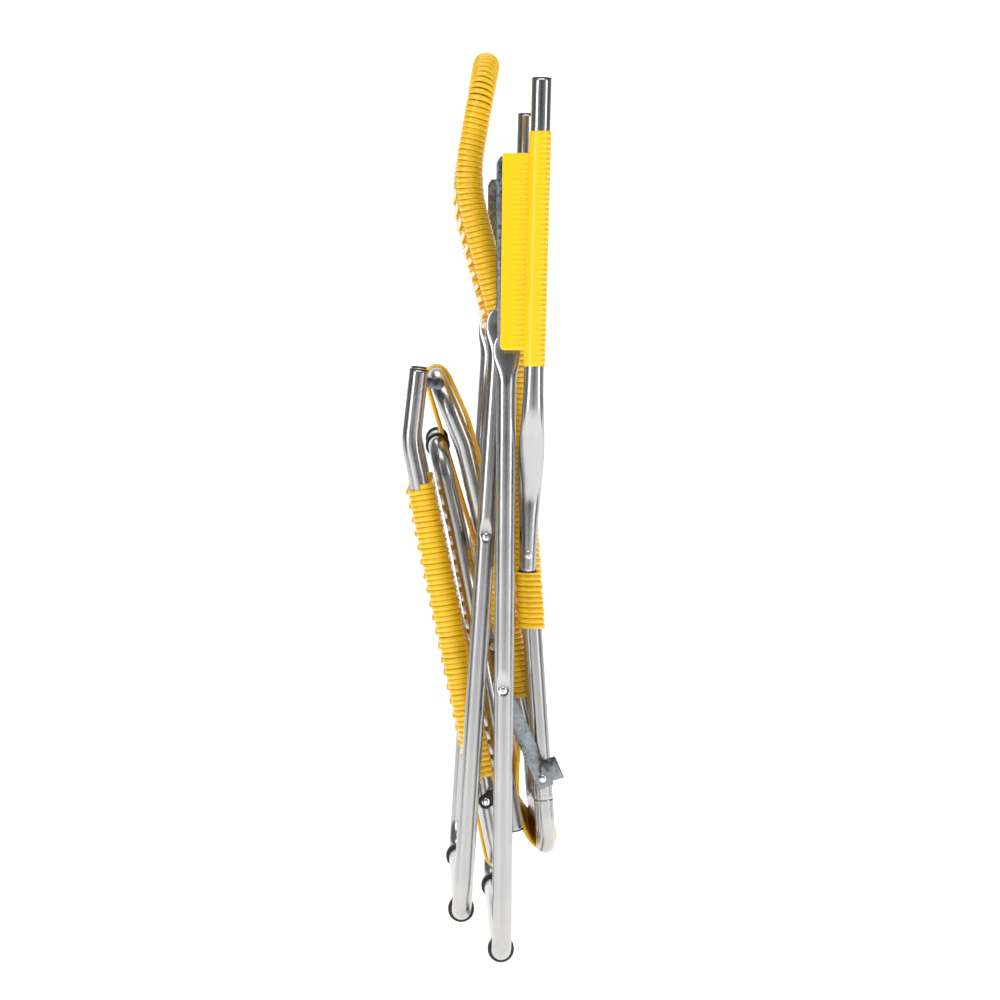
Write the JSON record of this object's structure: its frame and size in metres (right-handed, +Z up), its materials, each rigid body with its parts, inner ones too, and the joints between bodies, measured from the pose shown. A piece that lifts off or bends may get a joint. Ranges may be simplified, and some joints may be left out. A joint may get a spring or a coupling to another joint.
{
  "type": "folding sun lounger",
  "caption": "Folding lounger of bent aluminium tube with wound PVC cord seat, back and footrest and moulded armrests, shown folded flat and stood on end.",
  "frame": {"origin": "middle of the folded chair's footprint at floor level, under the rear leg's rubber rings", "axes": "+Z up along the folded frames as it stands on end; -X towards the chair's front; -Y to the sitter's left; the frame is symmetric about Y = 0"},
  "size_m": [0.2074, 0.6286, 1.172],
  "materials": {
    "aluminium_tube": "satin polished",
    "black_rubber": "satin",
    "rivet_steel": "bright zinc",
    "yellow_cord": "glossy PVC cord",
    "yellow_plastic": "moulded satin gloss",
    "zinc_strip": "spangled zinc plate",
    "black_plastic": "matt"
  },
  "bodies": {
    "rear_leg": {"rear_leg_frame": "aluminium_tube", "rear_leg_rings": "black_rubber", "rear_leg_rivets": "rivet_steel"},
    "armrest_left": {"arm_tube_left": "aluminium_tube", "arm_pad_left": "yellow_plastic", "arm_channel_left": "zinc_strip", "arm_plugs_left": "black_rubber", "arm_rivets_left": "rivet_steel"},
    "armrest_right": {"arm_tube_right": "aluminium_tube", "arm_pad_right": "yellow_plastic", "arm_channel_right": "zinc_strip", "arm_plugs_right": "black_rubber", "arm_rivets_right": "rivet_steel"},
    "front_leg": {"front_leg_frame": "aluminium_tube", "front_leg_rings": "black_rubber", "front_leg_rivets": "rivet_steel", "front_leg_spacers": "black_rubber"},
    "seat": {"seat_frame": "aluminium_tube", "seat_webbing": "yellow_cord", "seat_knee_webbing": "yellow_cord", "seat_hip_rivets": "rivet_steel", "seat_tube_plugs": "black_rubber", "knee_brackets": "zinc_strip", "knee_rivets": "rivet_steel"},
    "back": {"back_frame": "aluminium_tube", "back_lower_bend": "aluminium_tube", "back_webbing": "yellow_cord", "back_lower_webbing": "yellow_cord"},
    "footrest": {"footrest_frame": "aluminium_tube", "footrest_webbing": "yellow_cord", "footrest_end_webbing": "yellow_cord", "footrest_plugs": "black_rubber", "footrest_links": "black_plastic", "link_rivets": "rivet_steel"},
    "foot_leg": {"foot_leg_frame": "aluminium_tube", "foot_leg_rings": "black_rubber", "foot_leg_plugs": "black_rubber"},
    "strut_left": {"strut_left": "zinc_strip", "strut_rivet_left": "rivet_steel"},
    "strut_right": {"strut_right": "zinc_strip", "strut_rivet_right": "rivet_steel"}
  },
  "joints": [
    {"name": "frame_fold", "type": "hinge", "parent": "rear_leg", "child": "armrest_left", "pos_m": [0.0285, 0, 0.7946], "axis": [0, -1, 0], "range_deg": [0, 62.13]},
    {"name": "right_armrest_fold", "type": "hinge", "parent": "rear_leg", "child": "armrest_right", "pos_m": [0.0285, 0, 0.7946], "axis": [0, -1, 0], "range_deg": [0, 62.63]},
    {"name": "front_leg_fold", "type": "hinge", "parent": "armrest_left", "child": "front_leg", "pos_m": [0.0205, 0, 0.8264], "axis": [0, -1, 0], "range_deg": [-99.63, 0]},
    {"name": "seat_fold", "type": "hinge", "parent": "front_leg", "child": "seat", "pos_m": [0.0032, 0, 0.5512], "axis": [0, -1, 0], "range_deg": [0, 89.55]},
    {"name": "back_fold", "type": "hinge", "parent": "seat", "child": "back", "pos_m": [0.0759, 0, 0.2382], "axis": [0, -1, 0], "range_deg": [-91.78, 0]},
    {"name": "left_strut_fold", "type": "hinge", "parent": "rear_leg", "child": "strut_left", "pos_m": [0.0237, 0, 0.3583], "axis": [0, -1, 0], "range_deg": [0, 116.5]},
    {"name": "right_strut_fold", "type": "hinge", "parent": "rear_leg", "child": "strut_right", "pos_m": [0.0237, 0, 0.3583], "axis": [0, -1, 0], "range_deg": [0, 116.5]},
    {"name": "footrest_fold", "type": "hinge", "parent": "seat", "child": "footrest", "pos_m": [-0.083, 0, 0.748], "axis": [0, -1, 0], "range_deg": [-148.99, 0]},
    {"name": "foot_leg_fold", "type": "hinge", "parent": "footrest", "child": "foot_leg", "pos_m": [0.0299, 0, 0.2259], "axis": [0, -1, 0], "range_deg": [-27.22, 0]}
  ],
  "couplings": [
    {"joint": "right_armrest_fold", "follows": "frame_fold", "ratio": 1},
    {"joint": "front_leg_fold", "follows": "frame_fold", "ratio": -1.5955},
    {"joint": "seat_fold", "follows": "frame_fold", "ratio": 1.4333},
    {"joint": "back_fold", "follows": "frame_fold", "ratio": -1.4691},
    {"joint": "left_strut_fold", "follows": "frame_fold", "ratio": 1.8671},
    {"joint": "right_strut_fold", "follows": "frame_fold", "ratio": 1.8671},
    {"joint": "footrest_fold", "follows": "frame_fold", "ratio": -2.39},
    {"joint": "foot_leg_fold", "follows": "frame_fold", "ratio": -0.43}
  ]
}
